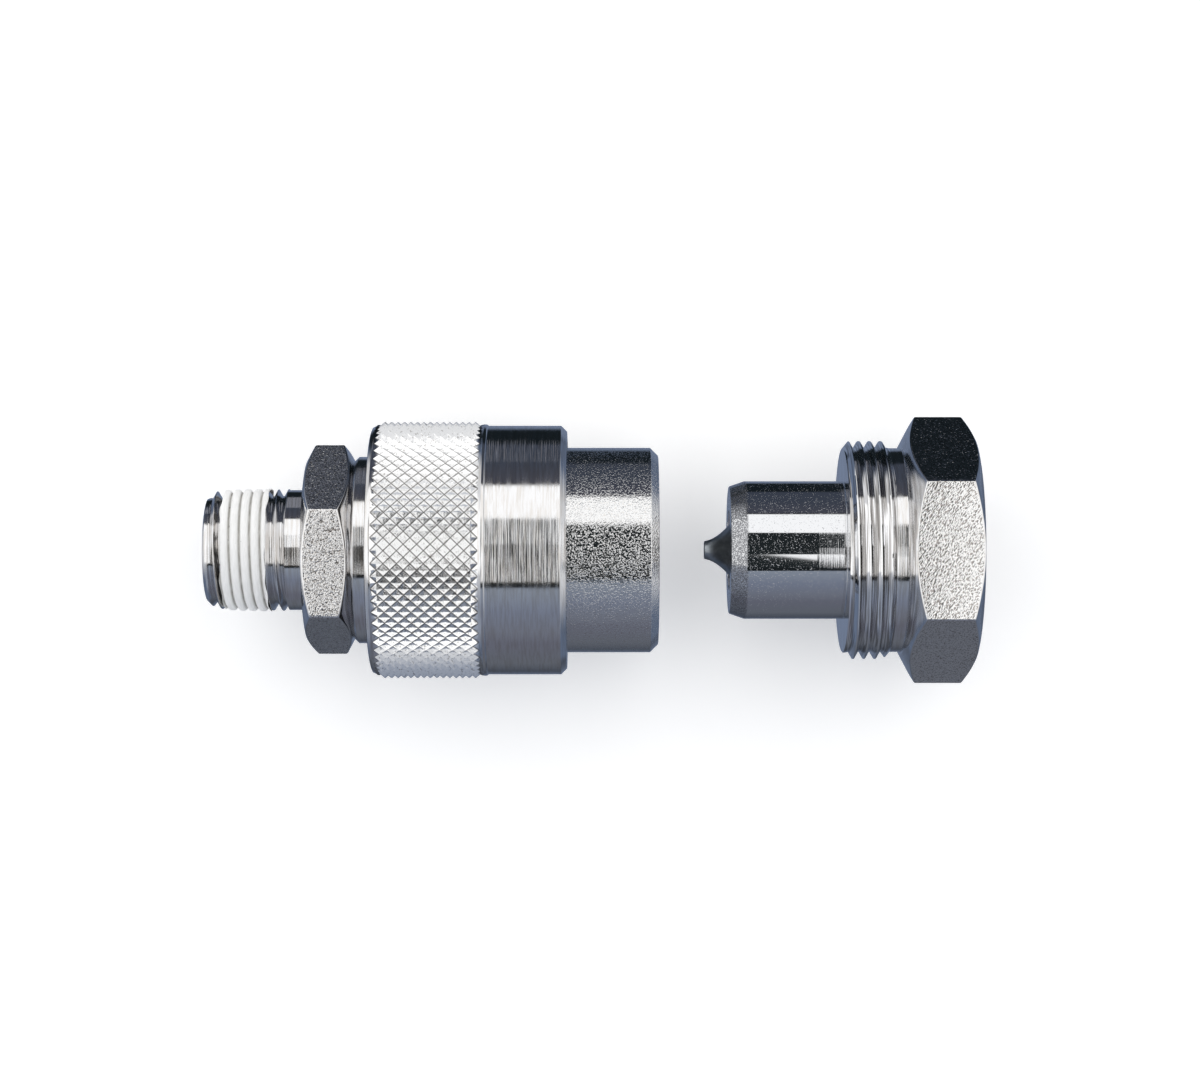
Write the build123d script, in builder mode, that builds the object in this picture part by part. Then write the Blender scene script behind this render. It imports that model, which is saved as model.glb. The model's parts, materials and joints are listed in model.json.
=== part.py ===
from build123d import *

import os
from math import cos, pi, radians, sin, sqrt, tan

HEX_SIDES = 6

# Screw-together hydraulic quick coupler for 3/8 in pipe: a socket half and a plug half on one axis.
# +X runs along the axis, from the socket half to the plug half, and +Z is up. Sizes are in millimetres.
# The origin is on the axis, in the middle of the pair as it is laid out.

os.makedirs("parts", exist_ok=True)

# Layout on the axis
socket_front_x = 9.4  # front face of the socket's body
nose_gap = 9.8  # from there to the face of the plug's nose

# Clearances
running_clear = 0.075  # on the radius: nose in its bore, stem in its guide
passing_clear = 0.3  # between pieces that pass each other loosely
seated_clear = 0.05  # between pieces that stay together
stop_clear = 0.25  # left when a slide stands at its stop
thread_clear = 0.175  # round the plug's threaded ring, inside the collar

# Socket body
head_r = 14.15
head_chamfer = 1.1
head_step = 1.25  # down to the tail
tail_chamfer = 0.8
body_length = 42.05
mouth_chamfer = 1.3
bore_depth = 16.74  # from the front face to the shoulder round the valve

# Both hexagons
hex_chamfer = 28  # degrees from the end faces
hex_face_margin = 0.2  # end face inside the flats

# Rear adapter: taper pipe nipple, hexagon and spigot in one piece
rear_hex_flats = 25.4
rear_hex_length = 6.25
rear_hex_turn = 8  # degrees about +X
neck_r = 8.3
neck_length = 2.6
nipple_length = 11.3
nipple_chamfer = 0.8
nipple_small_r = 8.1  # crest radius where the taper starts
nipple_taper = 1 / 32  # radius per length
passage_r = 5.0
spigot_r = 10.15
tape_start = 1.9  # from the nipple's end
tape_length = 6.2
tape_thickness = 0.12

# Collar, the threaded sleeve that holds the halves together
collar_rest_gap = 2.65  # from the rear hexagon, as it lies
collar_length = 26.84
collar_stroke = 20.0  # forward from where it lies
collar_wall = 1.925  # round its thread
collar_chamfer = 0.8
collar_thread_length = 8.5
knurl_rise = 0.55  # crests above the plain front stretch
knurl_depth = 0.5
knurl_end_rise = 0.1  # of the half points at both ends of the band
knurl_base = 0.65  # solid metal under the grooves
knurl_starts = 62  # grooves each way, at 45 degrees
knurl_margin = 0.8  # from the collar's rear face
knurl_length = 14.3
rear_edge_drop = 0.75  # rounded rear edge, below the grooves

# Snap ring in the collar's groove, which stops on the step behind the socket's head
ring_wire_r = 0.95
ring_clear = 0.15  # on the tail's radius
ring_lip = 1.7  # collar wall behind its groove
ring_gap = 14  # degrees

# Plug body: nose, threaded ring, relief and hexagon in one piece
nose_r = 9.525
nose_rim_drop = 0.725
nose_lead = 2.1
nose_length = 15.7
thread_rise = 0.95  # crests above the socket's head, which the collar slides over
thread_depth = 1.0
thread_length = 6.4
relief_length = 1.55
hex_flats = 32.0
hex_length = 9.95
hex_shoulder = 0.5  # end face outside the relief
port_r = 7.35
port_chamfer = 1.55

# Valve, the same in both halves, measured from the face that it opens through
tip_r = 1.26
pin_length = 3.42
flare_r = 2.67  # at the middle of the hollow flare behind the tip
flare_place = 1.2  # that middle, ahead of the face
throat_r = 5.6
throat_length = 1.5
rim_clear = 0.25
poppet_lap = 0.9  # poppet outside the throat
poppet_length = 2.28
oil_gap = 0.7  # round the poppet, in its chamber
cone_clear = 0.3
seal_clear = 0.08
seal_margin = 0.2
seal_depth = 0.6
stem_r = 2.0
stem_end = 0.6  # behind the guide

# Spring and guide behind each valve
spring_length = 9.0
spring_margin = 0.2  # inside the poppet's edge
spring_wire_r = 0.55
spring_turns = 4.5
guide_length = 3.1
guide_rim = 2.0
guide_hub_wall = 1.4
spoke_width = 1.8
spokes = 3

# Circlip behind the plug's guide
circlip_thickness = 1.1
circlip_groove_depth = 0.65
circlip_land = 0.35  # between its groove and the port
circlip_width = 1.5
circlip_gap = 34  # degrees
circlip_lug_r = 1.05
circlip_hole_r = 0.5

# Seals round the nose and the spigot
nose_seal_place = 4.0  # from the socket's front face
nose_seal_wire_r = 1.2
nose_seal_clear = 0.12
backup_width = 1.2
spigot_seal_place = 0.5  # from the rear hexagon
spigot_seal_wire_r = 0.8
spigot_backup_width = 0.9

# Radii that follow from the sizes above
tail_r = head_r - head_step
nose_bore_r = nose_r + running_clear
nipple_end_r = nipple_small_r - nipple_chamfer
thread_r = head_r + thread_rise
thread_root_r = thread_r - thread_depth
collar_bore_r = head_r + passing_clear
collar_thread_bore_r = thread_r + thread_clear
collar_r = collar_thread_bore_r + collar_wall
knurl_r = collar_r + knurl_rise
knurl_root_r = knurl_r - knurl_depth
knurl_core_r = knurl_root_r - knurl_base
ring_r = tail_r + ring_clear + ring_wire_r
throat_rim_r = throat_r - rim_clear
poppet_r = throat_r + poppet_lap
chamber_r = poppet_r + oil_gap
spring_r = poppet_r - spring_margin - spring_wire_r
guide_window_r = chamber_r - guide_rim
guide_hub_r = stem_r + guide_hub_wall

# Places on the axis that follow from the sizes above
body_rear_x = socket_front_x - body_length
nipple_end_x = body_rear_x - rear_hex_length - neck_length - nipple_length
neck_x = nipple_end_x + nipple_length
rear_hex_x = body_rear_x - rear_hex_length
collar_rear_x = body_rear_x + collar_rest_gap
collar_front_x = collar_rear_x + collar_length
ring_x = collar_rear_x + ring_lip + ring_wire_r + ring_clear
step_x = ring_x + ring_wire_r + collar_stroke + stop_clear
valve_face_x = socket_front_x - bore_depth
nose_x = socket_front_x + nose_gap
thread_x = nose_x + nose_length
hex_x = thread_x + thread_length + relief_length
plug_end_x = hex_x + hex_length

# Places along a valve, from the face that it opens through and into its half
cone_shift = cone_clear * sqrt(2) - throat_r + throat_length
poppet_back = poppet_r + cone_shift + poppet_length
guide_front = poppet_back + spring_length
guide_back = guide_front + guide_length
stem_back = guide_back + stem_end

# Each half's valve face and the way into it along X
halves = {"socket": (valve_face_x, -1), "plug": (nose_x, 1)}


def turned(corners, mode=Mode.ADD):
    """Turns the outline with these (x, radius) corners about the axis."""
    with BuildSketch(Plane.XY) as outline:
        with BuildLine():
            Polyline(*corners, close=True)
        make_face()
    revolve(outline.sketch, axis=Axis.X, mode=mode)


def hexagon(flats, x, length, near_r, turn=0):
    """Hexagonal bar along X, turned down to a cone at both ends, with its near end face this large."""
    with BuildSketch(Plane.YZ.offset(x)) as bar:
        RegularPolygon(flats / 2, HEX_SIDES, major_radius=False, rotation=turn)
    extrude(bar.sketch, amount=length)
    corner_r = flats / 2 / cos(pi / HEX_SIDES)
    far_r = flats / 2 - hex_face_margin
    slope = tan(radians(hex_chamfer))
    near_x = x + (corner_r - near_r) * slope
    far_x = x + length - (corner_r - far_r) * slope
    end_x = x + length
    cones = [(x, 0), (x, near_r), (near_x, corner_r), (far_x, corner_r), (end_x, far_r), (end_x, 0)]
    turned(cones, mode=Mode.INTERSECT)


def at_valve(half, outline):
    """Moves (depth, radius) points of a valve to their place in that half."""
    face_x, way = halves[half]
    return [(face_x + way * depth, radius) for depth, radius in outline]


def finish(piece, name):
    """Labels a finished piece and writes it."""
    piece.part.label = name
    export_step(piece.part, f"parts/{name}.step")


def valve_opening():
    """Outline of the hollow that a valve closes: throat, seat at 45 degrees and chamber."""
    seat_end = throat_length + chamber_r - throat_r
    return [
        (0, 0),
        (0, throat_r),
        (throat_length, throat_r),
        (seat_end, chamber_r),
        (guide_back, chamber_r),
        (guide_back, 0),
    ]


# Socket body: head with the nose bore, step, tail with the spigot bore
with BuildPart() as socket_body:
    turned(
        [
            (body_rear_x, 0),
            (body_rear_x, tail_r - tail_chamfer),
            (body_rear_x + tail_chamfer, tail_r),
            (step_x, tail_r),
            (step_x, head_r),
            (socket_front_x - head_chamfer, head_r),
            (socket_front_x, head_r - head_chamfer),
            (socket_front_x, 0),
        ]
    )
    turned(at_valve("socket", valve_opening()), mode=Mode.SUBTRACT)
    turned(
        [
            (valve_face_x, 0),
            (valve_face_x, nose_bore_r),
            (socket_front_x - mouth_chamfer, nose_bore_r),
            (socket_front_x, nose_bore_r + mouth_chamfer),
            (socket_front_x, 0),
        ],
        mode=Mode.SUBTRACT,
    )
    spigot_front_x = valve_face_x - guide_back
    spigot_bore_r = spigot_r + seated_clear
    turned(
        [
            (body_rear_x, 0),
            (body_rear_x, spigot_bore_r),
            (spigot_front_x, spigot_bore_r),
            (spigot_front_x, 0),
        ],
        mode=Mode.SUBTRACT,
    )
    seal_front_x = socket_front_x - nose_seal_place
    seal_groove_width = 2 * (nose_seal_wire_r + seated_clear) + backup_width
    seal_rear_x = seal_front_x - seal_groove_width
    seal_groove_r = nose_r + nose_seal_clear + 2 * nose_seal_wire_r + seated_clear
    turned(
        [
            (seal_rear_x, 0),
            (seal_rear_x, seal_groove_r),
            (seal_front_x, seal_groove_r),
            (seal_front_x, 0),
        ],
        mode=Mode.SUBTRACT,
    )
finish(socket_body, "socket_body")


# O-ring and back-up ring that seal round the plug's nose
with BuildPart() as nose_o_ring:
    with BuildSketch(Plane.XY) as nose_seal_section:
        nose_seal_x = seal_rear_x + nose_seal_wire_r + seated_clear
        with Locations((nose_seal_x, nose_r + nose_seal_clear + nose_seal_wire_r)):
            Circle(nose_seal_wire_r)
    revolve(axis=Axis.X)
finish(nose_o_ring, "nose_o_ring")

with BuildPart() as nose_backup_ring:
    backup_rear_x = seal_front_x - backup_width
    backup_bore_r = nose_r + nose_seal_clear
    turned(
        [
            (backup_rear_x, backup_bore_r),
            (backup_rear_x, seal_groove_r - seated_clear),
            (seal_front_x, seal_groove_r - seated_clear),
            (seal_front_x, backup_bore_r),
        ]
    )
finish(nose_backup_ring, "nose_backup_ring")


# Rear adapter: nipple, neck, hexagon and spigot
def nipple_r(x):
    """Crest radius of the taper thread at this place on the axis."""
    return nipple_small_r + (x - nipple_end_x) * nipple_taper


with BuildPart() as rear_adapter:
    rear_hex_face_r = rear_hex_flats / 2 - hex_face_margin
    hexagon(rear_hex_flats, rear_hex_x, rear_hex_length, rear_hex_face_r, rear_hex_turn)
    taper_x = nipple_end_x + nipple_chamfer
    turned(
        [
            (nipple_end_x, 0),
            (nipple_end_x, nipple_end_r),
            (taper_x, nipple_r(taper_x)),
            (neck_x, nipple_r(neck_x)),
            (neck_x, neck_r),
            (rear_hex_x, neck_r),
            (rear_hex_x, 0),
        ]
    )
    spigot_seal_x = body_rear_x + spigot_seal_place
    spigot_groove_width = 2 * (spigot_seal_wire_r + seated_clear) + spigot_backup_width
    spigot_groove_r = spigot_r - 2 * spigot_seal_wire_r - seated_clear
    turned(
        [
            (body_rear_x, 0),
            (body_rear_x, spigot_r),
            (spigot_seal_x, spigot_r),
            (spigot_seal_x, spigot_groove_r),
            (spigot_seal_x + spigot_groove_width, spigot_groove_r),
            (spigot_seal_x + spigot_groove_width, spigot_r),
            (spigot_front_x, spigot_r),
            (spigot_front_x, 0),
        ]
    )
    turned(
        [
            (nipple_end_x, 0),
            (nipple_end_x, passage_r),
            (spigot_front_x, passage_r),
            (spigot_front_x, 0),
        ],
        mode=Mode.SUBTRACT,
    )
finish(rear_adapter, "rear_adapter")

with BuildPart() as spigot_o_ring:
    with BuildSketch(Plane.XY) as spigot_seal_section:
        with Locations((spigot_seal_x + spigot_seal_wire_r + seated_clear, spigot_r - spigot_seal_wire_r)):
            Circle(spigot_seal_wire_r)
    revolve(axis=Axis.X)
finish(spigot_o_ring, "spigot_o_ring")

with BuildPart() as spigot_backup_ring:
    spigot_backup_x = spigot_seal_x + spigot_groove_width - spigot_backup_width
    turned(
        [
            (spigot_backup_x, spigot_groove_r + seated_clear),
            (spigot_backup_x, spigot_r),
            (spigot_backup_x + spigot_backup_width, spigot_r),
            (spigot_backup_x + spigot_backup_width, spigot_groove_r + seated_clear),
        ]
    )
finish(spigot_backup_ring, "spigot_backup_ring")

# Sealing tape wound on the nipple's thread
with BuildPart() as thread_tape:
    tape_x = nipple_end_x + tape_start
    tape_end_x = tape_x + tape_length
    tape_outer = seated_clear + tape_thickness
    turned(
        [
            (tape_x, nipple_r(tape_x) + seated_clear),
            (tape_x, nipple_r(tape_x) + tape_outer),
            (tape_end_x, nipple_r(tape_end_x) + tape_outer),
            (tape_end_x, nipple_r(tape_end_x) + seated_clear),
        ]
    )
finish(thread_tape, "thread_tape")


# Diamond knurl: a grid of four-sided points between two crossing sets of grooves
def knurl_band(x, length):
    """Hollow cylinder whose outside is the knurl, with half points at both ends."""
    step_angle = 2 * pi / knurl_starts
    row_width = knurl_r * step_angle / 2
    rows = round(length / row_width)

    def point(row, across, radius):
        angle = across * step_angle
        return Vector(x + row * length / rows, radius * cos(angle), radius * sin(angle))

    def crest(row, across):
        height = knurl_end_rise if row in (0, rows) else knurl_depth
        return point(row, across, knurl_root_r + height)

    def root(row, across):
        return point(row, across, knurl_root_r)

    faces = []
    for row in range(rows + 1):
        for start in range(knurl_starts):
            across = start + (row % 2) / 2
            top = crest(row, across)
            left = root(row, across - 0.5)
            right = root(row, across + 0.5)
            if row > 0:
                back = root(row - 1, across)
                faces.append(Face(Wire.make_polygon([top, right, back])))
                faces.append(Face(Wire.make_polygon([top, back, left])))
            if row < rows:
                front = root(row + 1, across)
                faces.append(Face(Wire.make_polygon([top, left, front])))
                faces.append(Face(Wire.make_polygon([top, front, right])))
    for row in (0, rows):
        edge = []
        for start in range(knurl_starts):
            across = start + (row % 2) / 2
            edge += [crest(row, across), root(row, across + 0.5)]
        faces.append(Face(Wire.make_polygon(edge)))
    band = Solid(Shell(faces))
    core = Solid.make_cylinder(knurl_core_r, length, Plane.YZ.offset(x))
    return band - core


with BuildPart() as collar:
    knurl_x = collar_rear_x + knurl_margin
    knurl_end_x = knurl_x + knurl_length
    groove_half = ring_wire_r + ring_clear
    groove_r = ring_r + ring_wire_r + ring_clear
    turned(
        [
            (collar_rear_x, collar_bore_r),
            (collar_rear_x, knurl_root_r - rear_edge_drop),
            (knurl_x, knurl_root_r),
            (knurl_x, knurl_core_r),
            (knurl_end_x, knurl_core_r),
            (knurl_end_x, knurl_root_r),
            (knurl_end_x + knurl_depth, collar_r),
            (collar_front_x - collar_chamfer, collar_r),
            (collar_front_x, collar_r - collar_chamfer),
            (collar_front_x, collar_thread_bore_r),
            (collar_front_x - collar_thread_length, collar_thread_bore_r),
            (collar_front_x - collar_thread_length, collar_bore_r),
            (ring_x + groove_half, collar_bore_r),
            (ring_x + groove_half, groove_r),
            (ring_x - groove_half, groove_r),
            (ring_x - groove_half, collar_bore_r),
        ]
    )
    add(knurl_band(knurl_x, knurl_length))
finish(collar, "collar")

with BuildPart() as collar_snap_ring:
    with BuildSketch(Plane.XY) as ring_section:
        with Locations((ring_x, ring_r)):
            Circle(ring_wire_r)
    revolve(axis=Axis.X, revolution_arc=360 - ring_gap)
finish(collar_snap_ring, "collar_snap_ring")


# Plug body
with BuildPart() as plug_body:
    hexagon(hex_flats, hex_x, hex_length, thread_root_r + hex_shoulder)
    thread_end_x = thread_x + thread_length
    turned(
        [
            (nose_x, 0),
            (nose_x, nose_r - nose_rim_drop),
            (nose_x + nose_lead, nose_r),
            (thread_x, nose_r),
            (thread_x, thread_root_r),
            (thread_x + thread_depth, thread_r),
            (thread_end_x - thread_depth, thread_r),
            (thread_end_x, thread_root_r),
            (hex_x, thread_root_r),
            (hex_x, 0),
        ]
    )
    turned(at_valve("plug", valve_opening()), mode=Mode.SUBTRACT)
    circlip_x = nose_x + guide_back
    circlip_groove_x = circlip_x + circlip_thickness + seated_clear
    circlip_groove_r = chamber_r + circlip_groove_depth
    port_x = circlip_groove_x + circlip_land
    turned(
        [
            (circlip_x, 0),
            (circlip_x, circlip_groove_r),
            (circlip_groove_x, circlip_groove_r),
            (circlip_groove_x, chamber_r),
            (port_x, chamber_r),
            (port_x, port_r),
            (plug_end_x - port_chamfer, port_r),
            (plug_end_x, port_r + port_chamfer),
            (plug_end_x, 0),
        ],
        mode=Mode.SUBTRACT,
    )
finish(plug_body, "plug_body")

with BuildPart() as plug_circlip:
    with BuildSketch(Plane.YZ.offset(circlip_x)) as circlip_shape:
        circlip_r = circlip_groove_r - 2 * seated_clear
        circlip_inner_r = circlip_r - circlip_width
        reach = 2 * circlip_r
        half_gap = radians(circlip_gap / 2)
        Circle(circlip_r)
        Circle(circlip_inner_r, mode=Mode.SUBTRACT)
        with BuildLine():
            Polyline(
                (0, 0),
                (-reach * sin(half_gap), -reach * cos(half_gap)),
                (reach * sin(half_gap), -reach * cos(half_gap)),
                close=True,
            )
        make_face(mode=Mode.SUBTRACT)
        lug_place = circlip_inner_r
        lug_angle = half_gap + circlip_lug_r / lug_place
        lug_centres = [(s * lug_place * sin(lug_angle), -lug_place * cos(lug_angle)) for s in (-1, 1)]
        with Locations(*lug_centres):
            Circle(circlip_lug_r)
            Circle(circlip_hole_r, mode=Mode.SUBTRACT)
    extrude(amount=circlip_thickness)
finish(plug_circlip, "plug_circlip")


# The two valves: poppet with its pin and stem, seal, spring and guide
def poppet_cone_r(depth, clear):
    """Radius of a cone that lies this clear of the valve's seat."""
    return depth + throat_r - throat_length - clear * sqrt(2)


for half, (face_x, way) in halves.items():
    seal_start = throat_rim_r + cone_shift + seal_margin
    seal_end = poppet_r + cone_shift - seal_margin
    seal_floor_r = throat_rim_r - seal_depth

    with BuildPart() as poppet:
        tip, flare, rim = at_valve(
            half, [(-pin_length, tip_r), (-flare_place, flare_r), (throat_length, throat_rim_r)]
        )
        rest = [
            (throat_rim_r + cone_shift, throat_rim_r),
            (seal_start, poppet_cone_r(seal_start, cone_clear)),
            (seal_start, seal_floor_r),
            (seal_end, seal_floor_r),
            (seal_end, poppet_cone_r(seal_end, cone_clear)),
            (poppet_r + cone_shift, poppet_r),
            (poppet_back, poppet_r),
            (poppet_back, stem_r),
            (stem_back, stem_r),
            (stem_back, 0),
            (-pin_length, 0),
        ]
        with BuildSketch(Plane.XY) as poppet_outline:
            with BuildLine():
                ThreePointArc(tip, flare, rim)
                Polyline(rim, *at_valve(half, rest), tip)
            make_face()
        revolve(axis=Axis.X)
    finish(poppet, f"{half}_poppet")

    with BuildPart() as poppet_seal:
        seal_front = seal_start + seated_clear
        seal_back = seal_end - seated_clear
        turned(
            at_valve(
                half,
                [
                    (seal_front, seal_floor_r + seated_clear),
                    (seal_front, poppet_cone_r(seal_front, seal_clear)),
                    (seal_back, poppet_cone_r(seal_back, seal_clear)),
                    (seal_back, seal_floor_r + seated_clear),
                ],
            )
        )
    finish(poppet_seal, f"{half}_poppet_seal")

    with BuildPart() as spring:
        coil_start = face_x + way * (poppet_back + spring_wire_r)
        coil_length = spring_length - 2 * spring_wire_r
        with BuildLine() as coil:
            Helix(
                coil_length / spring_turns,
                coil_length,
                spring_r,
                center=(coil_start, 0, 0),
                direction=(way, 0, 0),
            )
        with BuildSketch(Plane(origin=coil.line @ 0, z_dir=coil.line % 0)) as wire:
            Circle(spring_wire_r)
        sweep(is_frenet=True)
    finish(spring, f"{half}_spring")

    with BuildPart() as guide:
        guide_x = min(face_x + way * guide_front, face_x + way * guide_back)
        with BuildSketch(Plane.YZ.offset(guide_x)) as spider:
            spoke_reach = (guide_hub_r + guide_window_r) / 2
            Circle(chamber_r - running_clear)
            Circle(guide_window_r, mode=Mode.SUBTRACT)
            Circle(guide_hub_r)
            with PolarLocations(spoke_reach, spokes, start_angle=90):
                Rectangle(guide_window_r - guide_hub_r + spoke_width / 2, spoke_width)
            Circle(stem_r + running_clear, mode=Mode.SUBTRACT)
        extrude(amount=guide_length)
    finish(guide, f"{half}_valve_guide")
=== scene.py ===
import json
import math

import bmesh
import bpy
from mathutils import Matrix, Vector, noise


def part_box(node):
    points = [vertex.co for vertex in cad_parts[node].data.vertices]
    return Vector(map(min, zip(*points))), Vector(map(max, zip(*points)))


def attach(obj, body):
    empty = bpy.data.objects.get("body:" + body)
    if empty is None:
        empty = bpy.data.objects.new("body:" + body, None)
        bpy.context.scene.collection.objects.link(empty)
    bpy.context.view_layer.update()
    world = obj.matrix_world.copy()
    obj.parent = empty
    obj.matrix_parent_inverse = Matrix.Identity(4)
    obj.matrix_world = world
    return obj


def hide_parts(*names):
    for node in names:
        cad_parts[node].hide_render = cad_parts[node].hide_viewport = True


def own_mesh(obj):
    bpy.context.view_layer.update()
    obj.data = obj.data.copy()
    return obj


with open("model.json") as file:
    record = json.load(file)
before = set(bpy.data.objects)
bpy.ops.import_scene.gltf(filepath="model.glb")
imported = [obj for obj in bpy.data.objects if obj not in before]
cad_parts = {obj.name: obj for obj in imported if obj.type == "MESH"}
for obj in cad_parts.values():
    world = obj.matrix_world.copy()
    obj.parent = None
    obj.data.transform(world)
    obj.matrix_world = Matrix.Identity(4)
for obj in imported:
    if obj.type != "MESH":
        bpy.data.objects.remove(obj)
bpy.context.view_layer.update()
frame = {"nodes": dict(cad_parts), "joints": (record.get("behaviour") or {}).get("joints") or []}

# Screw-together hydraulic quick coupler. Its axis is X, and the sizes below are in millimetres.

MM = 0.001
COLUMNS = 180  # vertices round the axis, at every corner of both hexagons
EASE_STEPS = 3
MERGE = 0.002
TINY = 1e-5
SMOOTH_BELOW = math.radians(32)
SIXTH = math.pi / 3


def ends(node):
    """Where a solid starts and ends along the axis."""
    low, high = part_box(node)
    return low.x / MM, high.x / MM


body_rear, body_front = ends("socket_body")
nipple_end, spigot_front = ends("rear_adapter")
collar_rear, collar_front = ends("collar")
nose_face, port_face = ends("plug_body")
tape_rear, tape_front = ends("thread_tape")
limited_joints = [joint for joint in frame["joints"] if not joint.get("continuous")]
joint_range = {joint["name"]: joint["range_m"] for joint in limited_joints}

# Socket body
head_r = 14.15
tail_r = 12.9
head_chamfer = 1.1
tail_chamfer = 0.8
step_x = body_rear + 26.65
nose_bore_r = 9.6
mouth_chamfer = 1.3
seal_groove = (body_front - 7.7, body_front - 4.0, 12.095)
valve_shoulder_x = body_front - 16.74
spigot_bore_r = 10.2

# Valves, as depths and radii from the face that each opens through
throat_r = 5.6
throat_length = 1.5
chamber_r = 7.2
guide_back = 17.204
poppet_back = 5.104
spring_length = 9.0
spring_r = 5.75
spring_wire_r = 0.52

# Rear adapter
passage_r = 5.0
spigot_r = 10.15
neck_x = nipple_end + 11.3
neck_r = 8.3
small_hex_x = body_rear - 6.25
small_hex_flats = 25.4
small_hex_turn = math.radians(8)
hex_slope = math.tan(math.radians(28))
face_margin = 0.2

# Taper pipe thread of the nipple and of the port
pipe_pitch = 1.411
pipe_taper = 1 / 32
nipple_crest_r = 8.1  # at the nipple's end
nipple_depth = 0.95
nipple_end_r = 7.1
pipe_crest_place = 1.28  # from the nipple's end to a crest, at +Y

# Collar
collar_r = 17.2
collar_chamfer = 0.8
collar_bore_r = 14.45
knurl_r = 17.75
knurl_root_r = 16.98
knurl_end_r = 17.36  # of the points that the ends of the band cut
collar_rear_r = 17.15
knurl_starts = 62
knurl_rear = collar_rear + 0.8
knurl_front = knurl_rear + 14.3
knurl_rows = 16
ring_groove = (collar_rear + 1.7, collar_rear + 3.9, 15.1)
collar_thread_x = collar_front - 8.5
collar_crest_r = 14.25
collar_thread_depth = 1.025

# Plug body
nose_r = 9.525
nose_rim_r = 8.8
nose_lead = 2.1
ring_pitch = 1.5
ring_x = nose_face + 15.7
ring_end_x = ring_x + 6.4
ring_crest_r = 15.1
ring_root_r = 14.1
ring_crest_x = ring_x + 2.2  # one of its crests, above the axis in the view from the top
hex_x = ring_end_x + 1.55
hex_flats = 32.0
hex_near_r = 14.6
circlip_groove = (nose_face + guide_back, nose_face + guide_back + 1.15, 7.85)
port_x = circlip_groove[1] + 0.35
port_r = 7.35
port_depth = 0.85
port_mouth_r = 8.9


# Modelling


def eased(*corners):
    """Outline through (x, radius) corners, rounded at each one that gives a third number, its size."""
    outline = []
    for before, corner, after in zip(corners[-1:] + corners[:-1], corners, corners[1:] + corners[:1]):
        here = Vector(corner[:2])
        if len(corner) == 2:
            outline.append(corner)
            continue
        back = (Vector(before[:2]) - here).normalized()
        on = (Vector(after[:2]) - here).normalized()
        reach = corner[2] / math.tan(back.angle(on) / 2)
        start = here + back * reach
        end = here + on * reach
        for step in range(EASE_STEPS + 1):
            share = step / EASE_STEPS
            outline.append(tuple(start.lerp(here, share).lerp(here.lerp(end, share), share)))
    return outline


def angle_of(vert):
    """Angle of a vertex about the axis, from +Y towards +Z."""
    return math.atan2(vert.co.z, vert.co.y)


def place(verts, ring):
    """Moves vertices onto a ring: an (x, radius) pair, or a function of the angle that gives one."""
    for vert in verts:
        angle = angle_of(vert)
        x, radius = ring(angle) if callable(ring) else ring
        vert.co = Vector((x, radius * math.cos(angle), radius * math.sin(angle))) * MM


def carry_on(mesh, edges, rings):
    """Grows a skin from an open loop of edges through these rings."""
    for ring in rings:
        grown = bmesh.ops.extrude_edge_only(mesh, edges=edges)["geom"]
        verts = {item for item in grown if isinstance(item, bmesh.types.BMVert)}
        grown_edges = [item for item in grown if isinstance(item, bmesh.types.BMEdge)]
        edges = [edge for edge in grown_edges if verts.issuperset(edge.verts)]
        place(verts, ring)


def lathe(outline, closed=True, columns=COLUMNS):
    """Turns an outline about the axis."""
    mesh = bmesh.new()
    verts = [mesh.verts.new(Vector((x, radius, 0)) * MM) for x, radius in outline]
    edges = [mesh.edges.new(pair) for pair in zip(verts, verts[1:] + verts[:closed])]
    bmesh.ops.spin(
        mesh, geom=verts + edges, axis=(1, 0, 0), angle=math.tau, steps=columns, use_merge=True
    )
    return mesh


def thread_section(depth, pitch, crest_width):
    """One pitch of a 60 degree thread as (share of the pitch, height) points, from crest to crest."""
    flank_slope = math.tan(math.radians(30))
    flank = depth * flank_slope
    soft = crest_width * 0.3
    tip = depth * 0.03
    half_crest = crest_width / 2
    down_flank = [
        (0, 0),
        (half_crest / pitch, -tip),
        ((half_crest + soft) / pitch, -tip - soft / flank_slope),
        ((half_crest + flank * 0.9) / pitch, -depth * 0.93),
        ((half_crest + flank + soft) / pitch, -depth),
    ]
    return down_flank + [(1 - share, height) for share, height in reversed(down_flank)]


def open_loop(mesh, x):
    """The open edges of a skin that lie in this plane across the axis."""
    return [
        edge
        for edge in mesh.edges
        if edge.is_boundary and all(abs(vert.co.x - x * MM) < TINY for vert in edge.verts)
    ]


def tidy_loop(mesh, x, columns, ring=None):
    """Welds the stray vertices of a cut loop onto its columns, and returns its edges."""
    verts = {vert for edge in open_loop(mesh, x) for vert in edge.verts}
    step = math.tau / columns
    strays = {vert: round(angle_of(vert) / step) for vert in verts}
    regular = {}
    for vert, column in strays.items():
        if abs(angle_of(vert) - column * step) < TINY:
            regular[column % columns] = vert
    targets = {vert: regular[column % columns] for vert, column in strays.items()}
    targets = {vert: target for vert, target in targets.items() if vert != target}
    bmesh.ops.weld_verts(mesh, targetmap=targets)
    if ring:
        place(regular.values(), ring)
    return open_loop(mesh, x)


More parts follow.
